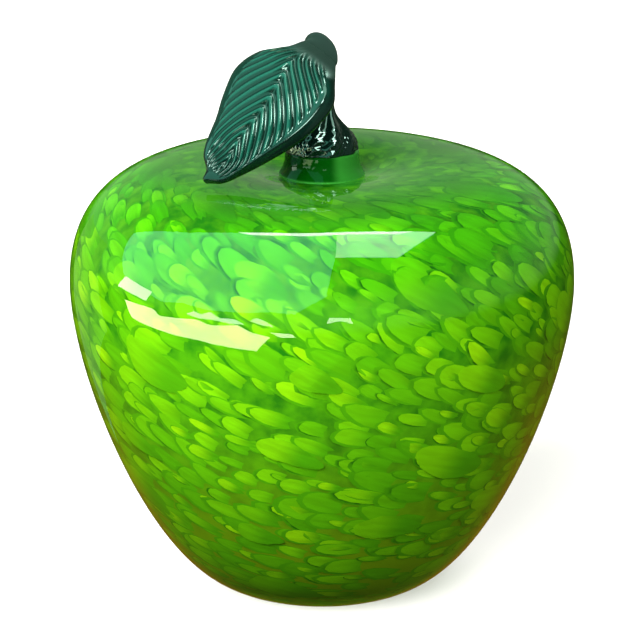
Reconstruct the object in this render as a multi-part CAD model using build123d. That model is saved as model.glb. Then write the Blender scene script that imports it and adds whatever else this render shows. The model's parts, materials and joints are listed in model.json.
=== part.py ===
from build123d import *
import math
import os

# Hand-blown glass apple, in millimetres. The base stands on z = 0 and the axis of the body is the Z axis.
# The layers share one outline, drawn at a different depth, so each one lies exactly on the next.

# Outline of the body
belly_radius = 57.5
belly_height = 71.5
base_radius = 21.0
heel_reach = 17.5
flank_rise = 22.0
crown_height = 98.8
crown_radius = 25.5
shoulder_rise = 19.0
crown_reach = 20.5
dimple_depth = 3.0
neck_bore_radius = 5.0

# Glass layers, from the outside in
casing_wall = 4.0
casing_base = 7.0
chip_wall = 1.6
overlay_wall = 1.4
bubble_wall = 3.0
pontil_radius = 12.0
pontil_depth = 1.5

# Main chips of the decor: flakes in staggered rows, drawn out by the blowing and turned with the gather
chip_rows = 6
chip_pitch = 34.0
chip_length = 15.0
chip_width = 6.4
chip_taper = 0.3
chip_rise = 0.6
chip_root = 0.8
chip_slant = 24.0
chip_middle = 55.0
chip_gain = 0.2
chip_swing = 0.5

# Collar bit on top of the neck, with a shank that fills the bore
collar_height = 6.0
collar_radius = 8.5
foot_radius = 9.8
foot_height = 2.2
foot_edge = 0.6
drop_length = 2.5

# Stem: a pulled bit with pincered ribs that wind round it, hooked over at the top
stem_height = 22.7
stem_foot_radius = 8.3
stem_waist_radius = 3.2
stem_neck_radius = 3.0
stem_hook_radius = 3.6
stem_lobes = 9
lobe_depth = 0.6
stem_turn = 80.0

# Leaf: a pressed bit that hangs forward and to the left of the hook, its tip just clear of the crown
leaf_root_left = 0.7
leaf_root_front = 2.9
leaf_tip_left = 26.2
leaf_tip_front = 21.2
leaf_tip_clearance = 1.5
leaf_neck_half_thickness = 2.3
blade_half_width = 12.4
blade_half_thickness = 1.6
blade_tip_half_thickness = 1.1
blade_arch = 2.6
vein_count = 8
vein_radius = 0.58
vein_sink = 0.2
lip_radius = 0.8

neck_height = crown_height - dimple_depth
collar_top = neck_height + collar_height


def outline(depth, floor):
    # Edges from the rim of the base up the flank, over the crown and down into the dimple
    belly = belly_radius - depth
    crown = crown_height - depth
    neck = neck_height - depth
    across = (belly - base_radius) / (belly_radius - base_radius)
    below = (belly_height - floor) / belly_height
    above = (crown - belly_height) / (crown_height - belly_height)
    over = (belly - crown_radius) / (belly_radius - crown_radius)
    lip = (crown_radius - neck_bore_radius) / 2
    flank = Bezier((base_radius, 0, floor), (base_radius + heel_reach * across, 0, floor),
                   (belly, 0, belly_height - flank_rise * below), (belly, 0, belly_height))
    shoulder = Bezier((belly, 0, belly_height), (belly, 0, belly_height + shoulder_rise * above),
                      (crown_radius + crown_reach * over, 0, crown), (crown_radius, 0, crown))
    dimple = Bezier((crown_radius, 0, crown), (crown_radius - lip, 0, crown),
                    (neck_bore_radius + lip / 2, 0, neck), (neck_bore_radius, 0, neck))
    return [flank, shoulder, dimple]


def layer(outer, inner):
    # Wall of glass between two skins, each given as its depth and the height of its floor
    bore = Line((neck_bore_radius, 0, neck_height - outer[0]), (neck_bore_radius, 0, neck_height - inner[0]))
    outside_floor = Line((0, 0, outer[1]), (base_radius, 0, outer[1]))
    inside_floor = Line((0, 0, inner[1]), (base_radius, 0, inner[1]))
    axis_line = Line((0, 0, outer[1]), (0, 0, inner[1]))
    edges = outline(*outer) + outline(*inner) + [bore, outside_floor, inside_floor, axis_line]
    return revolve(make_face(edges), Axis.Z)


def turned(corners, curve):
    # Round solid whose profile is a curve closed by straight lines through the corners
    ends = [curve @ 1, *corners, curve @ 0]
    return revolve(make_face([curve] + [Line(a, b) for a, b in zip(ends, ends[1:])]), Axis.Z)


skins = [(0.0, 0.0), (casing_wall, casing_base)]
for wall in (chip_wall, overlay_wall, bubble_wall):
    skins.append((skins[-1][0] + wall, skins[-1][1] + wall))

# The pontil scar is ground out to a shallow bowl, so the apple stands on the ring outside it
bowl_radius = (pontil_radius ** 2 + pontil_depth ** 2) / (2 * pontil_depth)
bowl = Pos(0, 0, pontil_depth - bowl_radius) * Sphere(bowl_radius)


def chip_prism(share, azimuth, size):
    # Upright block with the outline of one chip, at a share of the skin's height and an angle round the axis
    spot = chip_skin @ share
    rise = chip_skin % share
    swing = chip_gain + chip_swing * math.sin(math.radians(azimuth))
    slant = chip_slant + (spot.Z - chip_middle) * swing
    seat = Plane(origin=spot, x_dir=(0, 1, 0), z_dir=(rise.Z, 0, -rise.X)) * Rot(0, 0, -slant)
    corners = []
    for step in range(chip_corners):
        a = 2 * math.pi * step / chip_corners
        across = math.sin(a) * (1 - chip_taper * math.cos(a))
        corners.append((size * chip_length / 2 * math.cos(a), size * chip_width / 2 * across))
    block = Pos(0, 0, -2 * chip_root) * make_face(Spline(corners, periodic=True))
    return Rot(0, 0, azimuth - 90) * extrude(seat * block, amount=4 * chip_root)


# Each chip is cut from a skin that stands proud of the chip layer, so it bends with the glass it lies on
chip_corners = 10
chip_depth, chip_floor = skins[1]
chip_skin = Wire(outline(chip_depth, chip_floor)[:2])
proud_skin = layer((chip_depth - chip_rise, chip_floor - chip_rise),
                   (chip_depth + chip_root, chip_floor + chip_root))
chips = []
for row in range(chip_rows):
    height = (row + 0.5) / chip_rows
    row_count = round(2 * math.pi * (chip_skin @ height).X / chip_pitch)
    for place in range(row_count):
        # Sines of the chip's number scatter the places and sizes, the same way in every build
        number = len(chips)
        azimuth = 90 + 360 * (place + 0.5) / row_count + 5 * math.sin(5.1 * number)
        share = height + 0.025 * math.sin(3.7 * number)
        chips.append(proud_skin & chip_prism(share, azimuth, size=1 + 0.3 * math.sin(2.3 * number)))

clear_casing = (layer(skins[0], skins[1]) - bowl).cut(*chips)
chip_layer = layer(skins[1], skins[2]).fuse(*chips)
emerald_overlay = layer(skins[2], skins[3])
inner_bubble = layer(skins[3], skins[4])

# The collar follows the dimple underneath, and its shank fills the bore down to a hanging drop
body_edges = outline(*skins[0])
body_edges += Polyline((neck_bore_radius, 0, neck_height), (0, 0, neck_height), (0, 0, 0),
                       (base_radius, 0, 0)).edges()
body_form = revolve(make_face(body_edges), Axis.Z)
foot_line = Spline((foot_radius, 0, neck_height + foot_edge), (collar_radius, 0, neck_height + foot_height),
                   (stem_foot_radius, 0, collar_top), tangents=[(-1, 0, 0.6), (-0.05, 0, 1)])
collar_corners = [(0, 0, collar_top), (0, 0, neck_height / 2), (foot_radius, 0, neck_height / 2)]
collar = turned(collar_corners, foot_line) - body_form
shank_end = neck_height - skins[-1][0]
drop_end = shank_end - drop_length
drop_line = Bezier((0, 0, drop_end), (neck_bore_radius / 2, 0, drop_end), (neck_bore_radius, 0, drop_end),
                   (neck_bore_radius, 0, shank_end))
shank_top = neck_height + collar_height / 2
neck_seal = collar + turned([(neck_bore_radius, 0, shank_top), (0, 0, shank_top)], drop_line)

# Leaf frame: x runs down the blade to its tip, y across it to the right, z out of its upper face
leaf_root = Vector(-leaf_root_left, -leaf_root_front, collar_top + stem_height)
leaf_tip = Vector(-leaf_tip_left, -leaf_tip_front, crown_height + leaf_tip_clearance)
leaf_run = leaf_tip - leaf_root
leaf_length = leaf_run.length
leaf_across = Vector(0.79, -0.48, -0.38)
leaf_plane = Plane(origin=leaf_root, x_dir=leaf_run, z_dir=leaf_run.cross(leaf_across))

# Guide curves of the blade, its midrib and its two edges, as shares of the length, half width and arch
midrib_guide = [(0, 0, 0), (0.13, -0.19, 0.4), (0.28, -0.09, 0.62), (0.48, 0.02, 0.55), (0.7, 0.07, 0.35),
                (0.83, 0.16, 0.25), (1, 0.09, 0.4)]
right_guide = [(0, 0.4, 0), (0.1, 0.66, 0.1), (0.2, 0.9, 0.2), (0.35, 0.97, 0.25), (0.5, 0.91, 0.25),
               (0.68, 0.73, 0.25), (0.85, 0.51, 0.3), (0.95, 0.36, 0.4), (1, 0.13, 0.4)]
left_guide = [(0, -0.4, 0), (0.08, -0.6, -0.4), (0.18, -0.96, -0.7), (0.33, -1.1, -0.9), (0.5, -0.93, -0.9),
              (0.65, -0.69, -0.75), (0.8, -0.48, -0.4), (0.88, -0.31, -0.2), (0.94, -0.06, 0.1),
              (1, 0.04, 0.4)]


def guide_slope(guide, stop):
    before = guide[max(stop - 1, 0)]
    after = guide[min(stop + 1, len(guide) - 1)]
    return [(b - a) / (after[0] - before[0]) for a, b in zip(before, after)]


def on_guide(guide, u):
    # Point at a share of the length, on a smooth curve through the guide's stops
    stop = max(i for i in range(len(guide) - 1) if guide[i][0] <= u)
    width = guide[stop + 1][0] - guide[stop][0]
    s = (u - guide[stop][0]) / width
    weights = (2 * s ** 3 - 3 * s ** 2 + 1, (s ** 3 - 2 * s ** 2 + s) * width,
               3 * s ** 2 - 2 * s ** 3, (s ** 3 - s ** 2) * width)
    ends = (guide[stop], guide_slope(guide, stop), guide[stop + 1], guide_slope(guide, stop + 1))
    shares = [sum(w * end[i] for w, end in zip(weights, ends)) for i in range(3)]
    return [shares[0] * leaf_length, shares[1] * blade_half_width, shares[2] * blade_arch]


def blade_point(u, v, side):
    # Point on the blade, u along it and v across it from -1 to 1, on the upper or the lower face
    corners = zip(on_guide(left_guide, u), on_guide(midrib_guide, u), on_guide(right_guide, u))
    shares = ((v * v - v) / 2, 1 - v * v, (v * v + v) / 2)
    place = [sum(s * c for s, c in zip(shares, corner)) for corner in corners]
    from_neck = min(1, 5 * u)
    to_tip = max(0, 5 * u - 4)
    half = (leaf_neck_half_thickness * (1 - from_neck) + blade_half_thickness * (from_neck - to_tip)
            + blade_tip_half_thickness * to_tip)
    place[2] += side * half * max(0, 1 - v * v) ** (0.5 - 0.2 * from_neck)
    return leaf_plane.from_local_coords(Vector(*place))


def blade_edge(u, side):
    # Points of one face of the blade, from its right edge to its left edge
    return [blade_point(u, math.cos(math.pi * i / stem_lobes), side) for i in range(stem_lobes + 1)]


def blade_ring(u):
    return Wire([Spline(blade_edge(u, 1)), Spline(blade_edge(u, -1)[::-1])])


def bead(points, radius):
    # Round bead along the upper face, sunk into it a little
    path = Spline([p - leaf_plane.z_dir * vein_sink for p in points])
    return sweep(Plane(origin=path @ 0, z_dir=path % 0) * Circle(radius), path=path)


def vein(start, hand, slant, reach):
    # Bead that leaves the midrib at a share of the length and slants towards the tip on one hand of it
    last = min(reach, (vein_field[1] - start) / slant)
    steps = [midrib_gap + share * (last - midrib_gap) for share in (0, 0.35, 0.7, 1)]
    return bead([blade_point(start + slant * v, hand * v, 1) for v in steps], vein_radius)


# The veins start and end at shares of the length, clear of the midrib and of the lip along the right edge
vein_field = (0.08, 0.95)
vein_step = 0.08
midrib_gap = 0.1
lip_place = 0.86
blade_stations = [0, 0.05, 0.1, 0.17, 0.25, 0.37, 0.5, 0.63, 0.76, 0.86, 0.92, 0.96, 1]
blade = Solid.make_loft([blade_ring(u) for u in blade_stations])
veins = []
for index in range(vein_count):
    start = vein_field[0] + vein_step * index
    veins += [vein(start, 1, slant=0.36, reach=0.7), vein(start, -1, slant=0.44, reach=0.74)]
lip = bead([blade_point(u, lip_place, 1) for u in (0.2, 0.4, 0.6, 0.8)], lip_radius)
leaf = blade.fuse(*veins).fuse(lip)

# Stem, from the collar up behind the leaf and over the hook to the leaf root
stem_path = Spline((0, 0, collar_top), (-0.6, 1.4, collar_top + 0.3 * stem_height),
                   (-0.3, 4.8, collar_top + 0.6 * stem_height), (-0.4, 5.6, collar_top + 0.84 * stem_height),
                   (-0.9, 3.4, collar_top + 1.02 * stem_height), leaf_root,
                   tangents=[(0, 0, 1), leaf_plane.x_dir])
swell = stem_foot_radius - stem_waist_radius
# Each station: share of the path, radius, how much of the ribs is left, how flat the ring is
ring_count = 2 * stem_lobes
stem_stations = [(0, stem_foot_radius, 1, 1), (0.06, stem_waist_radius + 0.92 * swell, 1, 1),
                 (0.12, stem_waist_radius + 0.72 * swell, 1, 1),
                 (0.19, stem_waist_radius + 0.39 * swell, 1, 1),
                 (0.27, stem_waist_radius + 0.12 * swell, 1, 1), (0.36, stem_waist_radius, 0.8, 1),
                 (0.58, stem_neck_radius, 0.4, 1), (0.74, stem_neck_radius, 0.1, 0.95),
                 (0.88, stem_hook_radius, 0, 0.72)]


def stem_ring(share, radius, ribbing, flat):
    plane = Plane(origin=stem_path @ share, x_dir=leaf_plane.y_dir, z_dir=stem_path % share)
    points = []
    for i in range(ring_count):
        angle = 2 * math.pi * i / ring_count + math.radians(stem_turn) * share * ribbing
        size = radius - (i % 2) * lobe_depth * ribbing
        spot = Vector(size * math.cos(angle), flat * size * math.sin(angle), 0)
        points.append(plane.from_local_coords(spot))
    return Wire([Spline(points, periodic=True)])


leaf_end = Wire([Spline(blade_edge(0, 1) + blade_edge(0, -1)[-2:0:-1], periodic=True)])
stem = Solid.make_loft([stem_ring(*station) for station in stem_stations] + [leaf_end])

os.makedirs("parts", exist_ok=True)
pieces = {"clear_casing": clear_casing, "chip_layer": chip_layer, "emerald_overlay": emerald_overlay,
          "inner_bubble": inner_bubble, "neck_seal": neck_seal, "stem": stem, "leaf": leaf}
for name, piece in pieces.items():
    export_step(piece, f"parts/{name}.step")
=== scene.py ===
import json
import math
import bpy
import numpy as np
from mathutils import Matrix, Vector

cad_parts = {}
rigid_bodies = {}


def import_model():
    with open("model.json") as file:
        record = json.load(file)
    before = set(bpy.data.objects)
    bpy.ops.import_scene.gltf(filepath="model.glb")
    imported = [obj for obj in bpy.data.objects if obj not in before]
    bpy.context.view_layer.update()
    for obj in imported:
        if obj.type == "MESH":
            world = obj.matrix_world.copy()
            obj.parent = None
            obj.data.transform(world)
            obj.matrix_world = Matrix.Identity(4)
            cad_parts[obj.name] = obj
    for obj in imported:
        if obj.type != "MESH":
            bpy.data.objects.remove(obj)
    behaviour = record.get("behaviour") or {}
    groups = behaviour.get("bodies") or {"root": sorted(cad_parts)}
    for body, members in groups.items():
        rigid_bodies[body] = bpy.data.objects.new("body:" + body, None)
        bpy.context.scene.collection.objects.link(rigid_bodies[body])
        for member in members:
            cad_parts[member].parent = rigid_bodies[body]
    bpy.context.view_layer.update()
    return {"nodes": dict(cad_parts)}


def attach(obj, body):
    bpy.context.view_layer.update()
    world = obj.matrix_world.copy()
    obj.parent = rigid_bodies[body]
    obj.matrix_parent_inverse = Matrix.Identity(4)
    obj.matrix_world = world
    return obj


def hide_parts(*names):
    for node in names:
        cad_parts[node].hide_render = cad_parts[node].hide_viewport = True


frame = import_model()
scene = bpy.context.scene
mm = 0.001
print("frame:", len(frame["nodes"]), "nodes")


def linear(hexText):
    channels = [int(hexText[i:i + 2], 16) / 255 for i in (1, 3, 5)]
    return [c / 12.92 if c <= 0.04045 else ((c + 0.055) / 1.055) ** 2.4 for c in channels] + [1.0]


def add(tree, kind, wires=None, **settings):
    # one node with its settings; an input given a socket is linked, anything else is set on it
    node = tree.nodes.new(kind)
    for key, value in settings.items():
        setattr(node, key, value)
    for key, value in (wires or {}).items():
        if isinstance(value, bpy.types.NodeSocket):
            tree.links.new(value, node.inputs[key])
        else:
            node.inputs[key].default_value = value
    return node


def newMaterial(name):
    material = bpy.data.materials.new(name)
    material.use_nodes = True
    material.node_tree.nodes.clear()
    return material, material.node_tree


def newPiece(name, points, faces, material, flatFaces=0):
    # points in mm, put in the mesh in metres, so the object stays at the origin; the last faces may be flat
    mesh = bpy.data.meshes.new(name)
    mesh.from_pydata((np.asarray(points, dtype=float) * mm).tolist(), [], faces)
    mesh.polygons.foreach_set("use_smooth", [True] * (len(faces) - flatFaces) + [False] * flatFaces)
    mesh.materials.append(material)
    mesh.update()
    piece = bpy.data.objects.new(name, mesh)
    scene.collection.objects.link(piece)
    return piece


def mark(mesh, name, values):
    # a number or a vector at each point, for the glass or the scatter to read
    values = np.asarray(values, dtype=float)
    if values.ndim == 2:
        mesh.attributes.new(name, "FLOAT_VECTOR", "POINT").data.foreach_set("vector", values.ravel())
    else:
        mesh.attributes.new(name, "FLOAT", "POINT").data.foreach_set("value", values)


def pointValues(mesh, what):
    values = np.empty(len(mesh.vertices) * 3)
    mesh.vertices.foreach_get(what, values)
    return values.reshape(-1, 3)


def unit(vectors):
    return vectors / np.linalg.norm(vectors, axis=-1, keepdims=True)


def smoothStep(low, high, x):
    t = np.clip((x - low) / (high - low), 0, 1)
    return t * t * (3 - 2 * t)


def plateau(x, start, full, fade, end):
    # rises from 0 at start to 1 at full, stays there until fade and is back at 0 at end
    return smoothStep(start, full, x) * (1 - smoothStep(fade, end, x))


def bezier(corners, t):
    p = np.asarray(corners, dtype=float)
    t = np.asarray(t, dtype=float)[..., None]
    return (1 - t) ** 3 * p[0] + 3 * t * (1 - t) ** 2 * p[1] + 3 * t * t * (1 - t) * p[2] + t ** 3 * p[3]


def tubeFaces(rings, around, firstPole, lastPole):
    # quads between rings of points, closed by a pole at each end
    faces = []
    for i in range(rings - 1):
        for j in range(around):
            k = (j + 1) % around
            faces.append((i * around + j, i * around + k, (i + 1) * around + k, (i + 1) * around + j))
    last = (rings - 1) * around
    faces += [(firstPole, (j + 1) % around, j) for j in range(around)]
    faces += [(lastPole, last + j, last + (j + 1) % around) for j in range(around)]
    return faces


# Materials

def shadowPass(tree, shader, tint):
    # lamps shine through the clear glass instead of leaving what is under it black
    path = add(tree, "ShaderNodeLightPath")
    through = add(tree, "ShaderNodeBsdfTransparent", {"Color": tint})
    return add(tree, "ShaderNodeMixShader", {0: path.outputs["Is Shadow Ray"], 1: shader,
                                             2: through.outputs[0]})


def clearGlass(name, tint):
    # soda-lime glass, fire polished: mirror-sharp reflections, and what lies under it seen in its tint
    material, tree = newMaterial(name)
    glass = add(tree, "ShaderNodeBsdfPrincipled", {"Base Color": linear(tint), "Roughness": 0.0, "IOR": 1.5,
                                                   "Transmission Weight": 1.0})
    mix = shadowPass(tree, glass.outputs[0], linear(tint))
    add(tree, "ShaderNodeOutputMaterial", {"Surface": mix.outputs[0]})
    return material


def darkGlass(name, mass, blade, roughness, gloss, glint="#c4f4e0", satinRough=1.0):
    # dense green glass: darkest in the mass, greener where the thin mark is high, a mark that carries painted
    # light and shade; satin where the pincers held it
    material, tree = newMaterial(name)
    thin = add(tree, "ShaderNodeAttribute", attribute_name="thin")
    green = add(tree, "ShaderNodeMix", {0: thin.outputs["Fac"], 6: linear(mass), 7: linear(blade)},
                data_type="RGBA")
    satin = add(tree, "ShaderNodeAttribute", attribute_name="satin")
    rough = add(tree, "ShaderNodeMapRange", {"Value": satin.outputs["Fac"], "To Min": roughness,
                                             "To Max": satinRough})
    glass = add(tree, "ShaderNodeBsdfPrincipled", {"Base Color": green.outputs[2], "IOR": 1.52,
                                                   "Roughness": rough.outputs[0], "Specular IOR Level": gloss,
                                                   "Specular Tint": linear(glint)})
    add(tree, "ShaderNodeOutputMaterial", {"Surface": glass.outputs[0]})
    return material


def heightShade(tree, low, high, least):
    # grows with the height, from the least value at low to 1 at high, both in mm
    spot = add(tree, "ShaderNodeTexCoord")
    axes = add(tree, "ShaderNodeSeparateXYZ", {0: spot.outputs["Object"]})
    return add(tree, "ShaderNodeMapRange", {"Value": axes.outputs["Z"], "From Min": low * mm,
                                            "From Max": high * mm, "To Min": least, "To Max": 1.0},
               interpolation_type="SMOOTHSTEP")


# head and tail are places along a chip of unit length, and ragged is a size in mm; the base, shoulder and
# crown entries are two heights in mm and the least value that they give. The shade tone is the painted shadow
# beside each chip; the base entry is painted shade towards the bottom, and the crown entry with its dull tone
# is painted shade and reflection
chipTone = {"field": "#489a0a", "shade": "#125808", "head": -0.3, "tail": 0.22, "apart": 40.0,
            "streaks": (2.0, 11.0, 0.0), "streakDark": 0.86, "streakLight": 1.1, "ragged": 3.5, "whole": 0.38,
            "broken": 0.58, "deepest": 1.4, "base": (4, 75, 0.52), "shoulder": (72, 92, 0.0),
            "coolTone": "#bcf8cc", "crown": (91.5, 96.5, 0.0), "crownShadeTone": "#286818"}


def chipGlass(name, colours):
    # opaque chip glass: full colour at the head of a chip, thinning towards the green around it at its tail
    tone = chipTone
    field = linear(tone["field"])
    material, tree = newMaterial(name)
    tint = add(tree, "ShaderNodeAttribute", attribute_name="tint")
    slit = add(tree, "ShaderNodeAttribute", attribute_name="slit")
    spot = add(tree, "ShaderNodeAttribute", attribute_name="chipSpot")
    # rim marks where the painted shadow beside each chip falls
    rim = add(tree, "ShaderNodeAttribute", attribute_name="rim")
    axes = add(tree, "ShaderNodeSeparateXYZ", {0: spot.outputs["Vector"]})
    ramp = add(tree, "ShaderNodeValToRGB", {"Fac": tint.outputs["Fac"]})
    ramp.color_ramp.elements[0].color = linear(colours[0])
    ramp.color_ramp.elements[1].color = linear(colours[2])
    ramp.color_ramp.elements.new(0.5).color = linear(colours[1])
    thin = add(tree, "ShaderNodeMapRange", {"Value": axes.outputs["X"], "From Min": tone["head"],
                                            "From Max": tone["tail"]}, interpolation_type="SMOOTHSTEP")
    body = add(tree, "ShaderNodeMix", {0: thin.outputs[0], 6: ramp.outputs[0], 7: field}, data_type="RGBA")
    # streaks along the chip, drawn from another part of the noise for each one
    apart = add(tree, "ShaderNodeVectorMath", {0: tint.outputs["Vector"], "Scale": tone["apart"]},
                operation="SCALE")
    drawn = add(tree, "ShaderNodeVectorMath", {0: spot.outputs["Vector"], 1: tone["streaks"],
                                               2: apart.outputs[0]}, operation="MULTIPLY_ADD")
    streak = add(tree, "ShaderNodeTexNoise", {"Vector": drawn.outputs[0], "Scale": 1.0, "Detail": 2.0})
    depth = add(tree, "ShaderNodeMapRange", {"Value": streak.outputs[0], "From Min": 0.3, "From Max": 0.7,
                                             "To Min": tone["streakDark"], "To Max": tone["streakLight"]})
    drawnOut = add(tree, "ShaderNodeMix", {0: 1.0, 6: body.outputs[2], 7: depth.outputs[0]}, data_type="RGBA",
                   blend_type="MULTIPLY")
    skirted = add(tree, "ShaderNodeMix", {0: axes.outputs["Z"], 6: drawnOut.outputs[2], 7: field},
                  data_type="RGBA")
    # painted shadow beside the chip, broken up along its length
    place = add(tree, "ShaderNodeTexCoord")
    ragged = add(tree, "ShaderNodeTexNoise", {"Vector": place.outputs["Object"],
                                              "Scale": 1 / (tone["ragged"] * mm)})
    broken = add(tree, "ShaderNodeMapRange", {"Value": ragged.outputs[0], "From Min": tone["whole"],
                                              "From Max": tone["broken"], "To Max": tone["deepest"]})
    share = add(tree, "ShaderNodeMath", {0: slit.outputs["Fac"], 1: broken.outputs[0]}, operation="MULTIPLY")
    cut = add(tree, "ShaderNodeMath", {0: rim.outputs["Fac"], 1: share.outputs[0]}, operation="MULTIPLY",
              use_clamp=True)
    withPaintedShadow = add(tree, "ShaderNodeMix", {0: cut.outputs[0], 6: skirted.outputs[2], 7: linear(tone["shade"])},
                data_type="RGBA")
    # painted shade makes the chips darker towards the bottom; they are cooler on the shoulder, and on the
    # crown they fade into one dull green, painted shade and reflection
    low = heightShade(tree, *tone["base"])
    paintedShade = add(tree, "ShaderNodeMix", {0: 1.0, 6: withPaintedShadow.outputs[2], 7: low.outputs[0]}, data_type="RGBA",
               blend_type="MULTIPLY")
    high = heightShade(tree, *tone["shoulder"])
    cool = add(tree, "ShaderNodeMix", {0: high.outputs[0], 6: paintedShade.outputs[2], 7: linear(tone["coolTone"])},
               data_type="RGBA", blend_type="MULTIPLY")
    top = heightShade(tree, *tone["crown"])
    paintedCrownShade = add(tree, "ShaderNodeMix", {0: top.outputs[0], 6: cool.outputs[2], 7: linear(tone["crownShadeTone"])},
                  data_type="RGBA")
    chip = add(tree, "ShaderNodeBsdfPrincipled", {"Base Color": paintedCrownShade.outputs[2], "Roughness": 0.6,
                                                  "Specular IOR Level": 0.0})
    add(tree, "ShaderNodeOutputMaterial", {"Surface": chip.outputs[0]})
    return material


def groundGlass(name, deep, light, olive, patch, foot=5, belly=70):
    # emerald over the bubble, seen from outside as a deep green with lighter clouds, olive at its foot
    material, tree = newMaterial(name)
    spot = add(tree, "ShaderNodeTexCoord")
    cloud = add(tree, "ShaderNodeTexNoise", {"Vector": spot.outputs["Object"], "Scale": 1 / (patch * mm),
                                             "Detail": 3.0})
    shift = add(tree, "ShaderNodeMapRange", {"Value": cloud.outputs[0], "From Min": 0.35, "From Max": 0.65})
    green = add(tree, "ShaderNodeMix", {0: shift.outputs[0], 6: linear(deep), 7: linear(light)},
                data_type="RGBA")
    height = heightShade(tree, foot, belly, 0.0)
    whole = add(tree, "ShaderNodeMix", {0: height.outputs[0], 6: linear(olive), 7: green.outputs[2]},
                data_type="RGBA")
    ground = add(tree, "ShaderNodeBsdfPrincipled", {"Base Color": whole.outputs[2], "Roughness": 0.6,
                                                    "Specular IOR Level": 0.0})
    add(tree, "ShaderNodeOutputMaterial", {"Surface": ground.outputs[0]})
    return material


casingGlass = clearGlass("Clear soda-lime glass, fire polished", "#f7fcf4")
bubbleGlass = clearGlass("Clear soda-lime glass, blown", "#f2faf0")
overlayGlass = clearGlass("Emerald glass, overlaid", "#2f9a3c")
collarGlass = darkGlass("Deep green glass, fire polished", "#023c04", "#3a9c34", 0.04, 0.1)
stemGlass = darkGlass("Bottle-green glass, pincered", "#020b07", "#020b07", 0.05, 0.5)
leafGlass = darkGlass("Bottle-green glass, pressed", "#020b07", "#053428", 0.08, 0.5)
groundSkin = groundGlass("Emerald ground glass, marvered", "#1a6e0c", "#489a0c", "#5a7406", 5.0)
limeChip = chipGlass("Lime chip glass, marvered", ["#64b40a", "#78c40a", "#94d60a"])
greenChip = chipGlass("Green chip glass, marvered", ["#50a40a", "#60b20a", "#78c60a"])
print("materials:", len(bpy.data.materials))


# Body: one outline drawn at several depths, in mm

bodyForm = {"bellyRadius": 57.5, "bellyHeight": 71.5, "baseRadius": 21.0, "heelReach": 17.5,
            "flankRise": 22.0, "crownHeight": 98.8, "crownRadius": 25.5, "shoulderRise": 19.0,
            "crownReach": 20.5, "neckHeight": 95.8, "boreRadius": 5.0, "pontilRadius": 12.0,
            "pontilDepth": 1.5, "pontilRows": 8, "casingWall": 4.0, "casingBase": 7.0, "turns": 192}


def outline(depth, floor, steps=40):
    # flank, shoulder and dimple, each of as many steps
    b = bodyForm
    belly = b["bellyRadius"] - depth
    crown = b["crownHeight"] - depth
    neck = b["neckHeight"] - depth
    across = (belly - b["baseRadius"]) / (b["bellyRadius"] - b["baseRadius"])
    below = (b["bellyHeight"] - floor) / b["bellyHeight"]
    above = (crown - b["bellyHeight"]) / (b["crownHeight"] - b["bellyHeight"])
    over = (belly - b["crownRadius"]) / (b["bellyRadius"] - b["crownRadius"])
    lip = (b["crownRadius"] - b["boreRadius"]) / 2
    t = np.linspace(0, 1, steps)
    flank = bezier([(b["baseRadius"], floor), (b["baseRadius"] + b["heelReach"] * across, floor),
                    (belly, b["bellyHeight"] - b["flankRise"] * below), (belly, b["bellyHeight"])], t)
    shoulder = bezier([(belly, b["bellyHeight"]), (belly, b["bellyHeight"] + b["shoulderRise"] * above),
                       (b["crownRadius"] + b["crownReach"] * over, crown), (b["crownRadius"], crown)], t)
    dimple = bezier([(b["crownRadius"], crown), (b["crownRadius"] - lip, crown),
                     (b["boreRadius"] + lip / 2, neck), (b["boreRadius"], neck)], t)
    return np.vstack([flank, shoulder[1:], dimple[1:]])


def lathe(name, profile, material, turns):
    # profile of (radius, height) rings from below to above; the first and last rows lie on the axis
    angles = np.linspace(0, 2 * math.pi, turns, endpoint=False)
    rings = profile[1:-1]
    points = [(r * math.cos(a), r * math.sin(a), z) for r, z in rings for a in angles]
    points += [(0, 0, profile[0][1]), (0, 0, profile[-1][1])]
    return newPiece(name, points, tubeFaces(len(rings), turns, len(points) - 2, len(points) - 1), material)


def bowlRows(radius, depth, count):
    big = (radius ** 2 + depth ** 2) / (2 * depth)
    rows = [radius * i / count for i in range(count + 1)]
    return [(r, depth - big + math.sqrt(big * big - r * r)) for r in rows]


skin = outline(0, 0)
pontilBowl = bowlRows(bodyForm["pontilRadius"], bodyForm["pontilDepth"], bodyForm["pontilRows"])
casingProfile = np.vstack([pontilBowl, skin, [(0, skin[-1][1])]])
casing = lathe("clearCasing", casingProfile, casingGlass, bodyForm["turns"])
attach(casing, "root")
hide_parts("clear_casing")

chipDepth = (bodyForm["casingWall"], bodyForm["casingBase"])
groundLine = outline(*chipDepth)
groundProfile = np.vstack([[(0, groundLine[0][1])], groundLine, [(0, groundLine[-1][1])]])
ground = lathe("chipLayerGround", groundProfile, groundSkin, bodyForm["turns"])
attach(ground, "root")
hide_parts("chip_layer")
for node, glass in (("emerald_overlay", overlayGlass), ("inner_bubble", bubbleGlass)):
    frame["nodes"][node].data.materials.clear()
    frame["nodes"][node].data.materials.append(glass)
print("body:", len(casing.data.polygons), "faces in the casing")


# Chips: flakes of enamel glass, drawn out by the blowing and turned with the gather

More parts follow.
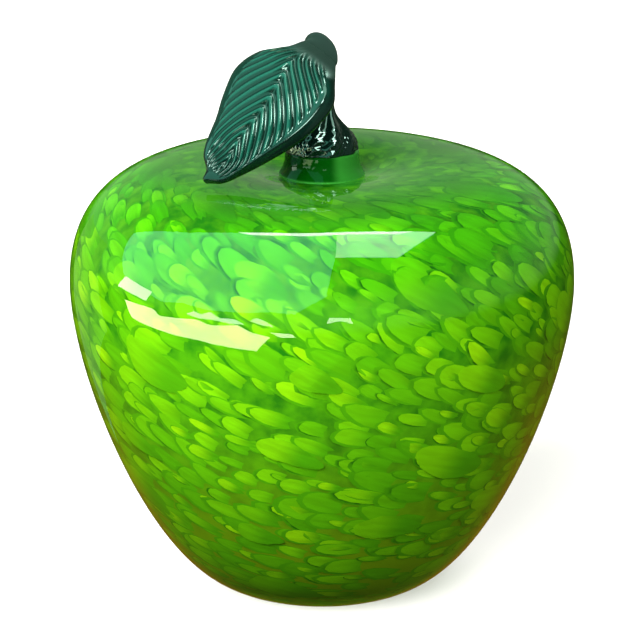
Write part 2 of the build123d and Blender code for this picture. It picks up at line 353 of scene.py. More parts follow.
mainFlow = {"slant": 24.0, "middle": 55.0, "gain": 0.2, "swing": 0.5}
smallFlow = {"slant": 24.0, "middle": 55.0, "gain": 0.3, "swing": 0.38}
mainLot = {"rows": 6, "pitch": 34.0, "length": 15.0, "width": 6.4, "taper": 0.3, "rise": 0.6, "corners": 28,
           "spread": 0.3, "spreadBeat": 2.3, "wander": 5.0, "wanderBeat": 5.1, "shift": 0.025,
           "shiftBeat": 3.7, "tint": 0.3, "tintBeat": 1.7, "slit": 0.5}
petalForm = {"sides": 16, "width": 0.24, "narrowest": 0.82, "widen": 0.09, "taper": 0.42, "wobble": 0.1,
             "bend": 0.14, "lean": 0.05, "slit": 0.01, "shadowSlitDrop": 0.1, "skirt": 0.17, "skirtLeast": 0.1,
             "skirtSquash": 0.7, "drop": 0.02, "shadeSide": (0.6, 0.8), "shadeStart": 0.3, "shadeSharp": 3,
             "variants": 6}
# rings of a main chip from its middle outwards: size, growth on its shaded side, height, skirt and painted
# shadow
mainRings = [(0, 0, 1.0, 0, 0), (0.55, 0, 1.0, 0, 0), (0.86, 0, 0.97, 0, 0), (0.96, 0, 0.75, 0, 0),
             (1, 0, 0.3, 0, 0), (1, petalForm["slit"], 0.05, 1, 1), (1, petalForm["skirt"], -0.1, 1, 0)]
greenLot = {"spacing": 4.3, "density": 110000.0, "shortest": 8.0, "longest": 18.0, "jitter": 9.0,
            "lift": 0.05, "seed": 3}
limeLot = {"spacing": 6.4, "density": 40000.0, "shortest": 5.5, "longest": 14.0, "jitter": 9.0,
           "lift": 0.22, "seed": 8}
chipSeeds = {"yaw": 11, "length": 21, "shape": 31, "tint": 41, "slit": 51}
seatForm = {"turns": 96, "neckClear": 9.0, "smallest": 0.65, "growFrom": 14.0, "growTo": 42.0}
skinSteps = 300
skinLine = outline(*chipDepth, steps=skinSteps)
skinAhead = unit(np.gradient(skinLine, axis=0))
dimpleStart = 2 * skinSteps - 1


def nearestOnSkin(radius, height):
    # place on the outline of the skin that lies nearest to each spot, some thousands of spots at a time
    batch = 4000
    parts = 1 + len(radius) // batch
    pairs = zip(np.array_split(radius, parts), np.array_split(height, parts))
    return np.concatenate([np.argmin((r[:, None] - skinLine[:, 0]) ** 2 + (h[:, None] - skinLine[:, 1]) ** 2,
                                     axis=1) for r, h in pairs])


def shadeAsSkin(mesh):
    # chips are pressed into the gather, so they catch the light as the smooth skin does
    spots = pointValues(mesh, "co") / mm
    radius = np.maximum(np.hypot(spots[:, 0], spots[:, 1]), 1e-6)
    ahead = skinAhead[nearestOnSkin(radius, spots[:, 2])]
    outward = spots[:, :2] / radius[:, None] * ahead[:, 1:]
    mesh.normals_split_custom_set_from_vertices(np.column_stack([outward, -ahead[:, 0]]).tolist())


def chipSlant(azimuth, height, flow):
    # how steeply a chip runs down from its head to its tail on the right, in radians
    swing = flow["gain"] + flow["swing"] * np.sin(azimuth)
    return np.radians(flow["slant"] + (height - flow["middle"]) * swing)


def chipShade(angle):
    # the painted shadow beside a chip lies along its lower left edge
    along, across = petalForm["shadeSide"]
    lit = along * np.cos(angle) + across * np.sin(angle) + petalForm["shadeStart"]
    return 0.5 - 0.5 * np.tanh(petalForm["shadeSharp"] * lit)


def chipWobble(angle, number):
    # no two chips have quite the same edge
    return 1 + petalForm["wobble"] * (np.cos(2 * angle + number) + 0.7 * np.cos(3 * angle + 2.4 * number))


def flakeFaces(first, rings, around):
    # a fan about the middle point, then quads out to the last ring
    pairs = [(k, (k + 1) % around) for k in range(around)]
    faces = [(first, first + 1 + k, first + 1 + n) for k, n in pairs]
    for ring in range(rings - 1):
        start = first + 1 + ring * around
        faces += [(start + k, start + around + k, start + around + n, start + n) for k, n in pairs]
    return faces


def mainChips():
    # the big chips at the places that the solid gives them, bent to the skin that they lie on
    lot = mainLot
    body, bodyAhead = skinLine[:dimpleStart], skinAhead[:dimpleStart]
    run = np.concatenate([[0], np.cumsum(np.linalg.norm(np.diff(body, axis=0), axis=1))])
    a = np.linspace(0, 2 * math.pi, lot["corners"], endpoint=False)
    sizes, grows, lifts, skirts, shadowSlits = np.array(mainRings, dtype=float).T
    repeats = [1] + [len(a)] * (len(mainRings) - 1)
    lift = lot["rise"] * np.repeat(lifts, repeats)
    points, faces, spots, paintedShadowRims, tints = [], [], [], [], []
    number = 0
    for row in range(lot["rows"]):
        level = (row + 0.5) / lot["rows"]
        count = round(2 * math.pi * np.interp(level * run[-1], run, body[:, 0]) / lot["pitch"])
        for place in range(count):
            wander = lot["wander"] * math.sin(lot["wanderBeat"] * number)
            azimuth = math.radians(90 + 360 * (place + 0.5) / count + wander)
            at = (level + lot["shift"] * math.sin(lot["shiftBeat"] * number)) * run[-1]
            seat = np.array([np.interp(at, run, body[:, k]) for k in (0, 1)])
            up = np.array([np.interp(at, run, bodyAhead[:, k]) for k in (0, 1)])
            slant = chipSlant(azimuth, seat[1], mainFlow)
            size = 1 + lot["spread"] * math.sin(lot["spreadBeat"] * number)
            reach = chipWobble(a, number)
            x = 0.5 * size * lot["length"] * np.cos(a) * reach
            y = 0.5 * size * lot["width"] * np.sin(a) * (1 - lot["taper"] * np.cos(a)) * reach
            edge = np.stack([x, y], 1)
            flat = np.vstack([[(0, 0)], *[edge * (s + g * chipShade(a))[:, None]
                                          for s, g in zip(sizes[1:], grows[1:])]])
            # turned to its slant, laid against the body and lifted off the skin
            east = flat[:, 0] * math.cos(slant) + flat[:, 1] * math.sin(slant)
            north = flat[:, 1] * math.cos(slant) - flat[:, 0] * math.sin(slant)
            radius = np.hypot(seat[0] + north * up[0], east)
            turn = azimuth + np.arctan2(east, seat[0] + north * up[0])
            near = nearestOnSkin(radius, seat[1] + north * up[1])
            radius = skinLine[near, 0] + lift * skinAhead[near, 1]
            height = skinLine[near, 1] - lift * skinAhead[near, 0]
            faces += flakeFaces(len(points), len(mainRings) - 1, len(a))
            points += np.stack([radius * np.sin(turn), -radius * np.cos(turn), height], 1).tolist()
            spots += np.column_stack([flat / (size * lot["length"]), np.repeat(skirts, repeats)]).tolist()
            # painted shadow along the lower left edge of each chip
            paintedShadowRims += np.concatenate([[0], *[s * chipShade(a) for s in shadowSlits[1:]]]).tolist()
            tints += [lot["tint"] + lot["tint"] * math.sin(lot["tintBeat"] * number)] * len(flat)
            number += 1
    piece = newPiece("mainChips", points, faces, limeChip)
    shadeAsSkin(piece.data)
    shadowSlitShare = [lot["slit"]] * len(points)
    for name, values in (("chipSpot", spots), ("rim", paintedShadowRims), ("tint", tints), ("slit", shadowSlitShare)):
        mark(piece.data, name, values)
    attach(piece, "root")
    print("chips:", number, "main ones")
    return piece


def chipPetal(number):
    # flat flake of unit length with a painted shadow along its lower left edge and a skirt that fades into
    # the green around it
    p = petalForm
    a = np.linspace(0, 2 * math.pi, p["sides"], endpoint=False)
    width = p["width"] * (p["narrowest"] + p["widen"] * number)
    reach = chipWobble(a, number)
    x = 0.5 * np.cos(a) * reach
    y = 0.5 * width * np.sin(a) * (1 - p["taper"] * np.cos(a)) * reach
    flat, spots, paintedShadowRims = [(0, 0, 0)], [(0, 0, 0)], [0.0]
    # the second ring holds the painted shadow, the third the skirt
    for grow, drop, skirt, paintedShade in ((0, 0, 0, 0), (p["slit"], p["shadowSlitDrop"], 1, 1), (p["skirt"], 1, 1, 0)):
        out = grow * (p["skirtLeast"] + (1 - p["skirtLeast"]) * chipShade(a)) / 2
        ring = list(zip(x + out * np.cos(a), y + out * np.sin(a) * p["skirtSquash"]))
        flat += [(px, py, -p["drop"] * drop) for px, py in ring]
        spots += [(px, py, skirt) for px, py in ring]
        paintedShadowRims += (paintedShade * chipShade(a)).tolist()
    faces = flakeFaces(0, 3, p["sides"])
    bent = [(px, py, pz - p["bend"] * px * px - p["lean"] * px) for px, py, pz in flat]
    mesh = bpy.data.meshes.new("chipPetal%d" % number)
    mesh.from_pydata(bent, [], faces)
    mesh.polygons.foreach_set("use_smooth", [True] * len(faces))
    mark(mesh, "chipSpot", spots)
    mark(mesh, "rim", paintedShadowRims)
    return bpy.data.objects.new(mesh.name, mesh)


petals = bpy.data.collections.new("chipPetals")
for i in range(petalForm["variants"]):
    petals.objects.link(chipPetal(i))


def chipTree():
    # scatters flakes over a skin, each turned along the flow, with a random length, shape and tint
    tree = bpy.data.node_groups.new("scatterChips", "GeometryNodeTree")
    tree.interface.new_socket("Geometry", in_out="INPUT", socket_type="NodeSocketGeometry")
    for label in ("Spacing", "Density", "Shortest", "Longest", "Jitter", "Lift"):
        tree.interface.new_socket(label, in_out="INPUT", socket_type="NodeSocketFloat")
    tree.interface.new_socket("Seed", in_out="INPUT", socket_type="NodeSocketInt")
    tree.interface.new_socket("Petals", in_out="INPUT", socket_type="NodeSocketCollection")
    tree.interface.new_socket("Glass", in_out="INPUT", socket_type="NodeSocketMaterial")
    tree.interface.new_socket("Geometry", in_out="OUTPUT", socket_type="NodeSocketGeometry")
    given = add(tree, "NodeGroupInput").outputs
    dots = add(tree, "GeometryNodeDistributePointsOnFaces",
               {"Mesh": given["Geometry"], "Distance Min": given["Spacing"], "Density Max": given["Density"],
                "Seed": given["Seed"]}, distribute_method="POISSON")
    normal = add(tree, "ShaderNodeVectorMath", {0: dots.outputs["Normal"], "Scale": given["Lift"]},
                 operation="SCALE")
    raised = add(tree, "GeometryNodeSetPosition", {"Geometry": dots.outputs["Points"],
                                                   "Offset": normal.outputs[0]})
    flow = add(tree, "GeometryNodeInputNamedAttribute", {"Name": "flow"}, data_type="FLOAT_VECTOR")
    along = add(tree, "FunctionNodeAlignRotationToVector",
                {"Rotation": dots.outputs["Rotation"], "Vector": flow.outputs[0]}, axis="X", pivot_axis="Z")
    back = add(tree, "ShaderNodeMath", {0: given["Jitter"], 1: -1.0}, operation="MULTIPLY")
    yaw = add(tree, "FunctionNodeRandomValue", {2: back.outputs[0], 3: given["Jitter"],
                                                "Seed": chipSeeds["yaw"]}, data_type="FLOAT")
    swing = add(tree, "FunctionNodeAxisAngleToRotation", {"Axis": (0, 0, 1), "Angle": yaw.outputs[1]})
    turned = add(tree, "FunctionNodeRotateRotation", {"Rotation": along.outputs[0],
                                                      "Rotate By": swing.outputs[0]}, rotation_space="LOCAL")
    length = add(tree, "FunctionNodeRandomValue", {2: given["Shortest"], 3: given["Longest"],
                                                   "Seed": chipSeeds["length"]}, data_type="FLOAT")
    share = add(tree, "GeometryNodeInputNamedAttribute", {"Name": "growth"}, data_type="FLOAT")
    grown = add(tree, "ShaderNodeMath", {0: length.outputs[1], 1: share.outputs[0]}, operation="MULTIPLY")
    pick = add(tree, "FunctionNodeRandomValue", {4: 0, 5: petalForm["variants"] - 1,
                                                 "Seed": chipSeeds["shape"]}, data_type="INT")
    shapes = add(tree, "GeometryNodeCollectionInfo",
                 {"Collection": given["Petals"], "Separate Children": True, "Reset Children": True})
    marked = add(tree, "GeometryNodeInstanceOnPoints",
                 {"Points": raised.outputs[0], "Instance": shapes.outputs[0], "Pick Instance": True,
                  "Instance Index": pick.outputs[2], "Rotation": turned.outputs[0],
                  "Scale": grown.outputs[0]})
    # a random tint for each chip and a random strength for its painted shadow
    for name, least in (("tint", 0.0), ("slit", -0.5)):
        value = add(tree, "FunctionNodeRandomValue", {2: least, 3: 1.0, "Seed": chipSeeds[name]},
                    data_type="FLOAT")
        marked = add(tree, "GeometryNodeStoreNamedAttribute",
                     {"Geometry": marked.outputs[0], "Name": name, "Value": value.outputs[1]},
                     data_type="FLOAT", domain="INSTANCE")
    real = add(tree, "GeometryNodeRealizeInstances", {"Geometry": marked.outputs[0]})
    glass = add(tree, "GeometryNodeSetMaterial", {"Geometry": real.outputs[0], "Material": given["Glass"]})
    add(tree, "NodeGroupOutput", {"Geometry": glass.outputs[0]})
    return tree


def scatterChips(name, lot, material):
    keep = groundLine[groundLine[:, 0] > seatForm["neckClear"]]
    seat = lathe(name, np.vstack([[(0, keep[0][1])], keep, [(0, keep[-1][1])]]), material, seatForm["turns"])
    spots = pointValues(seat.data, "co") / mm
    normals = pointValues(seat.data, "normal")
    radius = np.maximum(np.hypot(spots[:, 0], spots[:, 1]), 1e-6)
    slant = chipSlant(np.arctan2(spots[:, 0], -spots[:, 1]), spots[:, 2], smallFlow)[:, None]
    east = np.stack([-spots[:, 1], spots[:, 0], np.zeros(len(spots))], 1) / radius[:, None]
    flow = east * np.cos(slant) - np.cross(normals, east) * np.sin(slant)
    grown = smoothStep(seatForm["growFrom"], seatForm["growTo"], radius)
    mark(seat.data, "flow", flow)
    mark(seat.data, "growth", seatForm["smallest"] + (1 - seatForm["smallest"]) * grown)
    tree = bpy.data.node_groups.get("scatterChips") or chipTree()
    modifier = seat.modifiers.new("chips", "NODES")
    modifier.node_group = tree
    values = {"Spacing": lot["spacing"] * mm, "Density": lot["density"], "Shortest": lot["shortest"] * mm,
              "Longest": lot["longest"] * mm, "Jitter": math.radians(lot["jitter"]), "Lift": lot["lift"] * mm,
              "Seed": lot["seed"], "Petals": petals, "Glass": material}
    for socket in tree.interface.items_tree:
        if socket.in_out == "INPUT" and socket.name in values:
            modifier[socket.identifier] = values[socket.name]
    depsgraph = bpy.context.evaluated_depsgraph_get()
    mesh = bpy.data.meshes.new_from_object(seat.evaluated_get(depsgraph))
    shadeAsSkin(mesh)
    seat.modifiers.clear()
    seat.data = mesh
    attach(seat, "root")
    print("chips:", name, len(mesh.polygons), "faces")
    return seat


mainChips()
scatterChips("greenChips", greenLot, greenChip)
scatterChips("limeChips", limeLot, limeChip)
for petal in list(petals.objects):
    bpy.data.objects.remove(petal)
bpy.data.collections.remove(petals)


# Collar: the bit that seals the neck

collarForm = {"height": 6.0, "radius": 8.5, "flare": 0.2, "footRadius": 9.8, "footHeight": 2.2,
              "footEdge": 0.6, "straight": 1.0, "topRadius": 8.3, "sink": 0.25, "shank": 13.0, "slack": 0.05,
              "seat": 0.5, "dropShare": 0.7, "dropRound": 0.6, "dropHeight": 3.0, "steps": 24, "turns": 96,
              "paintedSideLight": 0.38, "paintedSideSpan": (0.2, 0.5), "paintedFootLight": (1.1, 0.4)}


def makeCollar():
    c = collarForm
    neck = bodyForm["neckHeight"]
    bore = bodyForm["boreRadius"]
    under = outline(c["sink"], 0)
    under = under[under[:, 0] < c["footRadius"]][::-1]
    side = bezier([(c["footRadius"], neck + c["footEdge"]),
                   (c["radius"] + c["flare"], neck + c["footHeight"]),
                   (c["radius"], neck + c["footHeight"] + c["straight"]),
                   (c["topRadius"], neck + c["height"])], np.linspace(0, 1, c["steps"]))
    end = neck - c["shank"]
    shank = [(0, end), (bore * c["dropShare"], end + c["dropRound"]),
             (bore - c["slack"], end + c["dropHeight"]), (bore - c["slack"], neck - c["seat"])]
    profile = np.vstack([shank, under[1:], side, [(0, neck + c["height"])]])
    piece = lathe("neckSeal", profile, collarGlass, c["turns"])
    # painted light: the foot is painted lighter as if light shone through thin glass there, and the right
    # side lighter as the bright room mirrored on it
    toRight = np.cos(np.linspace(0, 2 * math.pi, c["turns"], endpoint=False))
    paintedSideLight = c["paintedSideLight"] * smoothStep(*c["paintedSideSpan"], toRight)
    foot = smoothStep(neck + c["paintedFootLight"][0], neck + c["paintedFootLight"][1], profile[1:-1, 1])
    mark(piece.data, "thin", np.append(np.maximum(foot[:, None], paintedSideLight[None, :]).ravel(), [1, 0]))
    return piece


collar = makeCollar()
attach(collar, "root")
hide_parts("neck_seal")
collarTop = bodyForm["neckHeight"] + collarForm["height"]
print("collar:", len(collar.data.polygons), "faces")


# Leaf: a thick pressed blade between three guide curves, each a share of the length, half width and arch

leafForm = {"root": (-0.7, -2.9, 124.5), "tip": (-26.2, -21.2, 100.3), "across": (0.79, -0.48, -0.38),
            "neckHalf": 2.3, "bladeHalf": 1.6, "tipHalf": 1.1, "neckRound": 0.5, "bladeRound": 0.3,
            "halfWidth": 12.4, "arch": 2.6, "tipCap": 0.4, "ribStart": 0.08, "ribStep": 0.08,
            "ribHeight": 0.34, "leftRibs": 0.75, "slantRight": 0.36, "slantLeft": 0.44, "reachRight": 0.72,
            "reachLeft": 0.76, "reachFade": 0.08, "lipPlace": 0.86, "lipWidth": 0.06, "lipHeight": 0.6,
            "grooveWidth": 0.045, "grooveDepth": 0.25, "thinFlat": 0.35, "paintedShadeEdge": (0.84, 0.96),
            "satinRoot": (0.03, 0.12), "rows": 260, "topColumns": 130, "underColumns": 40}
# where along the blade each feature starts, is whole, fades and ends
leafFields = {"ribs": (0.03, 0.12, 0.86, 0.96), "lip": (0.14, 0.26, 0.8, 0.95),
              "groove": (0.1, 0.2, 0.85, 0.97), "thin": (0.05, 0.2, 0.7, 1)}
midribGuide = [(0, 0, 0), (0.13, -0.19, 0.4), (0.28, -0.09, 0.62), (0.48, 0.02, 0.55), (0.7, 0.07, 0.35),
               (0.83, 0.16, 0.25), (1, 0.09, 0.4)]
rightGuide = [(0, 0.4, 0), (0.1, 0.66, 0.1), (0.2, 0.9, 0.2), (0.35, 0.97, 0.25), (0.5, 0.91, 0.25),
              (0.68, 0.73, 0.25), (0.85, 0.51, 0.3), (0.95, 0.36, 0.4), (1, 0.13, 0.4)]
leftGuide = [(0, -0.4, 0), (0.08, -0.6, -0.4), (0.18, -0.96, -0.7), (0.33, -1.1, -0.9), (0.5, -0.93, -0.9),
             (0.65, -0.69, -0.75), (0.8, -0.48, -0.4), (0.88, -0.31, -0.2), (0.94, -0.06, 0.1),
             (1, 0.04, 0.4)]
leafRoot = np.array(leafForm["root"])
leafRun = np.array(leafForm["tip"]) - leafRoot
leafLength = np.linalg.norm(leafRun)
leafX = leafRun / leafLength
leafZ = unit(np.cross(leafX, leafForm["across"]))
leafY = np.cross(leafZ, leafX)


def smoothLine(stops, knots, slopes, t):
    # cubic curve through the knots, each reached at its stop with its slope
    i = np.clip(np.searchsorted(stops, t, side="right") - 1, 0, len(stops) - 2)
    width = (stops[i + 1] - stops[i])[..., None]
    s = (t - stops[i])[..., None] / width
    return ((2 * s ** 3 - 3 * s ** 2 + 1) * knots[i] + (s ** 3 - 2 * s ** 2 + s) * width * slopes[i]
            + (3 * s ** 2 - 2 * s ** 3) * knots[i + 1] + (s ** 3 - s ** 2) * width * slopes[i + 1])


def onGuide(guide, u):
    knots = np.array(guide, dtype=float)
    ahead = np.vstack([knots[1:], knots[-1:]]) - np.vstack([knots[:1], knots[:-1]])
    place = smoothLine(knots[:, 0], knots, ahead / ahead[:, :1], u)
    return place * (leafLength, leafForm["halfWidth"], leafForm["arch"])


def bladeSpot(u, v, side):
    # u along the blade, v across it from -1 to 1, side 1 for the upper face and -1 for the lower one
    f = leafForm
    w = v[..., None]
    place = (onGuide(midribGuide, u) * (1 - w * w) + onGuide(leftGuide, u) * (w * w - w) / 2
             + onGuide(rightGuide, u) * (w * w + w) / 2)
    # thickness, changing over the first and the last fifth of the blade
    fromNeck = np.minimum(1, 5 * u)
    toTip = np.maximum(0, 5 * u - 4)
    half = f["neckHalf"] * (1 - fromNeck) + f["bladeHalf"] * (fromNeck - toTip) + f["tipHalf"] * toTip
    edge = f["neckRound"] + (f["bladeRound"] - f["neckRound"]) * fromNeck
    place[..., 2] += side * half * np.maximum(0, 1 - v * v) ** edge
    # relief of the upper face
    slant = np.where(v > 0, f["slantRight"], f["slantLeft"])
    rib = np.cos(2 * math.pi * (u - slant * np.abs(v) - f["ribStart"]) / f["ribStep"])
    reach = np.where(v > 0, f["reachRight"], f["reachLeft"])
    field = plateau(u, *leafFields["ribs"]) * (1 - smoothStep(reach, reach + f["reachFade"], np.abs(v)))
    lip = np.exp(-((v - f["lipPlace"]) / f["lipWidth"]) ** 2) * plateau(u, *leafFields["lip"])
    groove = np.exp(-(v / f["grooveWidth"]) ** 2) * plateau(u, *leafFields["groove"])
    relief = (f["ribHeight"] * rib * field * np.where(v > 0, 1.0, f["leftRibs"]) + f["lipHeight"] * lip
              - f["grooveDepth"] * groove)
    place[..., 2] += np.where(side > 0, relief, 0)
    # painted light and shade: the rib crests are painted lighter, as if light came through them, while the
    # valleys, the lip and the right edge are painted in shade
    thin = plateau(u, *leafFields["thin"]) * (f["thinFlat"] + (1 - f["thinFlat"]) * rib * field) * (1 - lip)
    thin = thin * (1 - smoothStep(*f["paintedShadeEdge"], v))
    spot = leafRoot + place[..., :1] * leafX + place[..., 1:2] * leafY + place[..., 2:] * leafZ
    return spot, np.where(side > 0, np.clip(thin, 0, 1), 0)


def makeLeaf():
    top = np.cos(np.linspace(0, math.pi, leafForm["topColumns"]))
    under = np.cos(np.linspace(math.pi, 2 * math.pi, leafForm["underColumns"]))[1:-1]
    v = np.concatenate([top, under])
    side = np.concatenate([np.ones(len(top)), -np.ones(len(under))])
    u = np.linspace(0, 1, leafForm["rows"])
    grid, thin = bladeSpot(*np.broadcast_arrays(u[:, None], v[None, :], side[None, :]))
    rows, around = grid.shape[:2]
    points = grid.reshape(-1, 3).tolist()
    points.append(tuple(grid[0].mean(axis=0)))
    points.append(tuple(grid[-1].mean(axis=0) + leafForm["tipCap"] * leafX))
    faces = tubeFaces(rows, around, len(points) - 2, len(points) - 1)
    piece = newPiece("pressedLeaf", points, faces, leafGlass, 2 * around)
    satin = np.repeat(1 - smoothStep(*leafForm["satinRoot"], u), around)
    # thin carries painted light on the rib crests and painted shade in the valleys and along the edge
    mark(piece.data, "thin", np.append(thin.ravel(), [0, 0]))
    mark(piece.data, "satin", np.append(satin, [1, 0]))
    return piece


leaf = makeLeaf()
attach(leaf, "root")
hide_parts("leaf")
print("leaf:", len(leaf.data.polygons), "faces")


# Stem: a pulled bit, ribbed and twisted, hooked over to the leaf

stemForm = {"height": 22.7, "lobes": 9, "lobeDepth": 0.6, "turn": 80.0, "crease": 0.16, "creases": 31,
            "creaseSway": 9, "creaseRows": 140, "creaseFade": (0.06, 0.2), "alongLeaf": (0.75, 1),
            "satinHook": (0.7, 0.85), "rows": 180, "around": 180}
# points that the middle goes through: x and y in mm, and a share of the height
stemKnots = [(0, 0, 0), (-0.6, 1.4, 0.3), (-0.3, 4.8, 0.6), (-0.4, 5.6, 0.84), (-0.9, 3.4, 1.02)]
# share of the length, radius in mm, ribbing and flatness
stemStations = [(0, 8.3, 1, 1), (0.06, 7.9, 1, 1), (0.12, 6.9, 1, 1), (0.19, 5.2, 1, 1), (0.27, 3.8, 1, 1),
                (0.36, 3.2, 0.8, 1), (0.58, 3.0, 0.4, 1), (0.74, 3.0, 0.1, 0.95), (0.88, 3.6, 0, 0.72),
                (1.0, 4.96, 0, 0.464)]


def stemPath(t):
    # through the same points as the solid, upright at the foot and along the leaf at the end
    knots = np.array([(x, y, share * stemForm["height"]) for x, y, share in stemKnots]
                     + [tuple(leafRoot - (0, 0, collarTop))])
    gaps = np.linalg.norm(np.diff(knots, axis=0), axis=1)
    stops = np.concatenate([[0], np.cumsum(gaps)]) / gaps.sum()
    slopes = np.gradient(knots, stops, axis=0)
    slopes[0] = np.array([0, 0, 1]) * np.linalg.norm(slopes[0])
    start = np.diff(onGuide(midribGuide, np.array([0, 0.01])), axis=0)[0] @ np.stack([leafX, leafY, leafZ])
    slopes[-1] = start * np.linalg.norm(slopes[-1]) / np.linalg.norm(start)
    return smoothLine(stops, knots, slopes, t) + (0, 0, collarTop)


def makeStem():
    s = stemForm
    t = np.linspace(0, 1, s["rows"])
    centre = stemPath(t)
    ahead = unit(np.gradient(centre, axis=0))
    ahead = unit(ahead + (leafX - ahead) * smoothStep(*s["alongLeaf"], t)[:, None])
    table = np.array(stemStations)
    slopes = np.gradient(table, table[:, 0], axis=0)
    radius, ribbing, flat = smoothLine(table[:, 0], table, slopes, t)[:, 1:].T
    across = unit(leafY - (ahead @ leafY)[:, None] * ahead)
    deep = np.cross(ahead, across)
    a = np.linspace(0, 2 * math.pi, s["around"], endpoint=False)
    turned = a[None, :] - math.radians(s["turn"]) * (t * ribbing)[:, None]
    lobe = 0.5 - 0.5 * np.cos(s["lobes"] * turned)
    size = radius[:, None] - s["lobeDepth"] * ribbing[:, None] * lobe
    crease = np.sin(s["creases"] * turned + s["creaseSway"] * np.sin(3 * turned))
    crease = crease * np.sin(s["creaseRows"] * t)[:, None]
    size = size + s["crease"] * crease * (1 - smoothStep(*s["creaseFade"], t))[:, None]
    grid = (centre[:, None, :] + (size * np.cos(a))[..., None] * across[:, None, :]
            + (size * np.sin(a) * flat[:, None])[..., None] * deep[:, None, :])
    points = grid.reshape(-1, 3).tolist() + [tuple(centre[0]), tuple(centre[-1])]
    faces = tubeFaces(len(t), len(a), len(points) - 2, len(points) - 1)
    piece = newPiece("pulledStem", points, faces, stemGlass, 2 * len(a))
    mark(piece.data, "satin", np.append(np.repeat(smoothStep(*s["satinHook"], t), len(a)), [0, 1]))
    return piece


stem = makeStem()
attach(stem, "root")
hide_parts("stem")
print("stem:", len(stem.data.polygons), "faces")


# Floor, light and camera

studio = {"floorWidth": 12.0, "floorTone": "#f6f4f0", "away": 1.1,
          "roomTones": [(-1.0, "#5a8a1c"), (-0.7, "#6a801c"), (-0.5, "#906c1c"), (-0.32, "#4a4c14"),
                        (-0.06, "#2c3c18"), (0.04, "#94a08c"), (0.3, "#8a958a"), (0.6, "#56604e"),
                        (1.0, "#3c443a")]}
softboxes = {"key": {"heading": (-36, 34), "away": 1.3, "width": 1.3, "watts": 57.0, "mirrored": False},
             "fill": {"heading": (48, 18), "away": 1.2, "width": 1.0, "watts": 11.0, "mirrored": False},
             "back": {"heading": (168, 36), "away": 1.5, "width": 1.4, "watts": 32.0, "mirrored": False},
             "ribs": {"heading": (50, 61), "away": 1.1, "width": 0.28, "watts": 14.0, "mirrored": True},
             "rim": {"heading": (28, 36), "away": 1.1, "width": 0.36, "watts": 13.0, "mirrored": True}}
# what the glass mirrors: corners by azimuth and elevation, tone, strength and the way that each panel faces
mirrored = {
    "tealPanel": ([(-123, 32), (-124, 53), (-138, 64), (-167, 71), (160, 68), (129, 58), (63, 63), (16, 75),
                   (2, 29), (-12, 12), (-22, 13), (-32, 10), (-51, 7), (-63, 8), (-74, 4), (-101, 9)],
                  "#94e4d4", 3.4, (-60, 50)),
    "whiteEdge": ([(-138, 64), (-167, 71), (160, 68), (129, 58), (126, 61), (160, 72), (-167, 75),
                   (-137, 68)], "#ffffff", 14.0, (175, 68)),
    "mintPanel": ([(172, 70), (129, 58), (63, 63), (16, 75)], "#e4fff4", 6.5, (100, 66)),
    "cornerPanel": ([(-101, 1), (-82, 1), (-80, 8), (-98, 9)], "#fffdf0", 13.0, (-90, 5)),
    "creamPanel": ([(-96, -4), (-78, -2), (-74, -5), (-55, -1), (-48, -3), (-36, 0), (-30, -4), (-22, -6),
                    (-28, -15), (-55, -13), (-91, -11)], "#fff2c0", 16.0, (-55, -8)),
    "flickPanel": ([(-60, 1), (-57, 4), (-53, 3), (-49, 6), (-44, 3), (-38, 4), (-33, 1), (-40, 0), (-47, 1),
                    (-53, 0)], "#fbfff0", 11.0, (-47, 3)),
    "fleckPanel": ([(-31, 4), (-28, 7), (-24, 5), (-20, 1), (-26, 2)], "#fbfff0", 9.0, (-26, 4)),
    "stripPanel": ([(-22, -3), (-13, -3), (-11, -5), (-17, -6)], "#fff8d8", 14.0, (-16, -4)),
    "sparkPanel": ([(2, 5), (8, 7), (13, 4), (12, 9), (3, 10)], "#fffff0", 10.0, (7, 7)),
    "sidePanel": ([(-112, -20), (-150, -30), (-150, 4), (-122, 14)], "#d8f0a0", 0.45, (-134, -8))}


def heading(azimuth, elevation):
    # unit vector seen from the apple: 0 is towards the camera, positive to its right
    a, e = math.radians(azimuth), math.radians(elevation)
    return Vector((math.sin(a) * math.cos(e), -math.cos(a) * math.cos(e), math.sin(e)))


def lightPanel(name, corners, tone, strength, facing):
    # flat glowing panel square to one heading, cut to the outline that its corners draw
    material, tree = newMaterial(name)
    glow = add(tree, "ShaderNodeEmission", {"Color": linear(tone), "Strength": strength})
    add(tree, "ShaderNodeOutputMaterial", {"Surface": glow.outputs[0]})
    material.cycles.emission_sampling = "NONE"
    square = heading(*facing)
    centre = Vector((0, 0, bodyForm["bellyHeight"] * mm))
    points = [centre + heading(*c) * (studio["away"] / heading(*c).dot(square)) for c in corners]
    panel = newPiece(name, [tuple(p / mm) for p in points], [tuple(range(len(points)))], material, 1)
    panel.visible_camera = False
    panel.visible_diffuse = False
    panel.visible_transmission = False
    panel.visible_shadow = False
    return panel


for name, panel in mirrored.items():
    lightPanel(name, *panel)

# the lamps that the ribs and the rim glint in light the leaf and the stem alone
darkPieces = bpy.data.collections.new("darkPieces")
darkPieces.objects.link(leaf)
darkPieces.objects.link(stem)
for name, box in softboxes.items():
    lamp = bpy.data.lights.new(name, "AREA")
    lamp.size = box["width"]
    lamp.energy = box["watts"]
    softbox = bpy.data.objects.new(name, lamp)
    scene.collection.objects.link(softbox)
    softbox.location = heading(*box["heading"]) * box["away"]
    softbox.rotation_euler = (-softbox.location).to_track_quat("-Z", "Y").to_euler()
    softbox.visible_glossy = box["mirrored"]
    softbox.visible_camera = False
    if box["mirrored"]:
        softbox.light_linking.receiver_collection = darkPieces

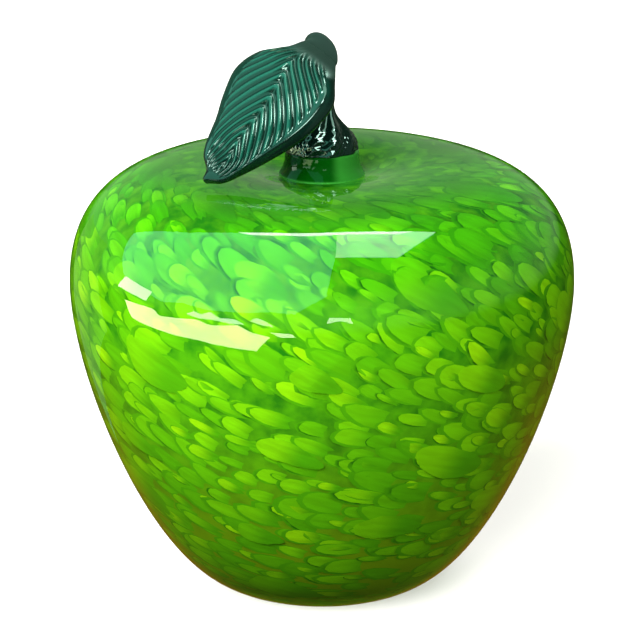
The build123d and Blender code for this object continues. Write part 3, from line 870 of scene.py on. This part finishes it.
floorMaterial, floorTree = newMaterial("Pale paper sweep")
paper = add(floorTree, "ShaderNodeBsdfPrincipled", {"Base Color": linear(studio["floorTone"]),
                                                    "Roughness": 0.9, "Specular IOR Level": 0.0})
add(floorTree, "ShaderNodeOutputMaterial", {"Surface": paper.outputs[0]})
half = studio["floorWidth"] / 2 / mm
floorCorners = [(-half, -half, 0), (half, -half, 0), (half, half, 0), (-half, half, 0)]
floor = newPiece("floor", floorCorners, [(0, 1, 2, 3)], floorMaterial, 1)
floor.visible_glossy = False
floor.visible_transmission = False

# a room that goes from olive below to grey above, with plain white behind the apple
world = bpy.data.worlds.new("studio")
scene.world = world
world.use_nodes = True
room = world.node_tree
room.nodes.clear()
direction = add(room, "ShaderNodeTexCoord")
axes = add(room, "ShaderNodeSeparateXYZ", {0: direction.outputs["Generated"]})
upward = add(room, "ShaderNodeMapRange", {"Value": axes.outputs["Z"], "From Min": -1.0, "From Max": 1.0})
ramp = add(room, "ShaderNodeValToRGB", {"Fac": upward.outputs[0]})
for level, tone in studio["roomTones"][1:-1]:
    ramp.color_ramp.elements.new(0.5 + level / 2).color = linear(tone)
ramp.color_ramp.elements[0].color = linear(studio["roomTones"][0][1])
ramp.color_ramp.elements[-1].color = linear(studio["roomTones"][-1][1])
path = add(room, "ShaderNodeLightPath")
seen = add(room, "ShaderNodeMix", {0: path.outputs["Is Camera Ray"], 6: ramp.outputs[0], 7: (1, 1, 1, 1)},
           data_type="RGBA")
back = add(room, "ShaderNodeBackground", {"Color": seen.outputs[2], "Strength": 1.0})
add(room, "ShaderNodeOutputWorld", {"Surface": back.outputs[0]})

cameraView = {"elevation": 18.0, "distance": 650.0, "frameWidth": 147.0, "sensor": 36.0,
              "aim": (-0.45, 0.0, 61.4)}
lens = bpy.data.cameras.new("camera")
lens.sensor_width = cameraView["sensor"]
lens.lens = cameraView["sensor"] * cameraView["distance"] / cameraView["frameWidth"]
lens.clip_start = 0.01
camera = bpy.data.objects.new("camera", lens)
scene.collection.objects.link(camera)
aim = Vector(cameraView["aim"]) * mm
camera.location = aim + heading(0, cameraView["elevation"]) * cameraView["distance"] * mm
camera.rotation_euler = (aim - camera.location).to_track_quat("-Z", "Y").to_euler()
scene.camera = camera

scene.view_settings.view_transform = "Standard"
scene.cycles.caustics_reflective = False
scene.cycles.caustics_refractive = False
scene.cycles.max_bounces = 12
scene.cycles.transmission_bounces = 8
scene.cycles.transparent_max_bounces = 12

print("stage and camera set")
